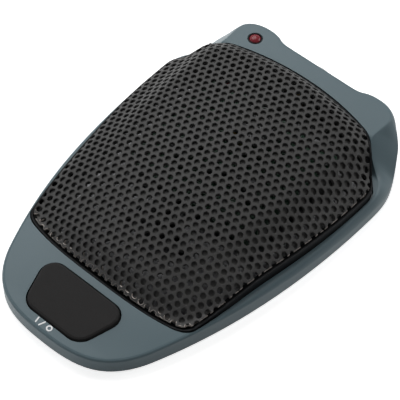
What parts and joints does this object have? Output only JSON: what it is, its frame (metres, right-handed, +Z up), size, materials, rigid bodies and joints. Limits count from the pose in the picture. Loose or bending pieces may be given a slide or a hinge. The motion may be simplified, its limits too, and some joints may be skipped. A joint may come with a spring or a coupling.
{
  "type": "boundary microphone",
  "caption": "Flat boundary microphone: die-cast body, domed perforated grille over a capsule and board, push button, status lamp and multi-pin cable socket.",
  "frame": {"origin": "centre of the bounding box's footprint, on the table plane", "axes": "+Z up, +Y towards the rear edge with the cable socket, +X to the right seen from the button"},
  "size_m": [0.0786, 0.1156, 0.0201],
  "materials": {
    "body_paint": "satin",
    "grille_paint": "satin",
    "black_plastic": "matte",
    "button_plastic": "matte",
    "rubber": "matte",
    "steel": "brushed",
    "gold_contact": "polished",
    "lamp_red": "gloss",
    "board_green": "satin",
    "can_aluminium": "satin",
    "coil_tape": "satin"
  },
  "bodies": {
    "body": {"base_plate": "steel", "base_screw_front_left": "steel", "base_screw_front_right": "steel", "base_screw_rear_left": "steel", "base_screw_rear_right": "steel", "board_screw_front_left": "steel", "board_screw_front_right": "steel", "board_screw_rear_left": "steel", "board_screw_rear_right": "steel", "board_spacer_front_left": "steel", "board_spacer_front_right": "steel", "board_spacer_rear_left": "steel", "board_spacer_rear_right": "steel", "capacitor_front": "can_aluminium", "capacitor_middle": "can_aluminium", "capacitor_rear": "can_aluminium", "capsule_boot": "rubber", "capsule_cradle": "black_plastic", "capsule_lead": "black_plastic", "connector_insert": "black_plastic", "connector_lead": "rubber", "connector_nut": "gold_contact", "connector_panel": "black_plastic", "connector_shell": "steel", "contact_pin_1": "gold_contact", "contact_pin_2": "gold_contact", "contact_pin_3": "gold_contact", "cradle_screw_left": "steel", "cradle_screw_right": "steel", "grille_backing": "grille_paint", "grille_frame": "black_plastic", "grille_screen": "grille_paint", "lamp_collar": "black_plastic", "lamp_lead": "lamp_red", "main_board": "board_green", "microphone_capsule": "can_aluminium", "preamp_chip": "black_plastic", "rubber_mat": "rubber", "status_lamp": "lamp_red", "switch_board": "board_green", "switch_body": "black_plastic", "switch_lead": "black_plastic", "transformer_coil": "coil_tape", "transformer_core": "steel", "upper_housing": "body_paint"},
    "button": {"switch_button": "button_plastic", "switch_plunger": "button_plastic"}
  },
  "joints": [
    {"name": "button_press", "type": "slide", "parent": "body", "child": "button", "axis": [0, 0, -1], "range_m": [0, 0.0005], "stiffness_N_per_m": 2000}
  ]
}
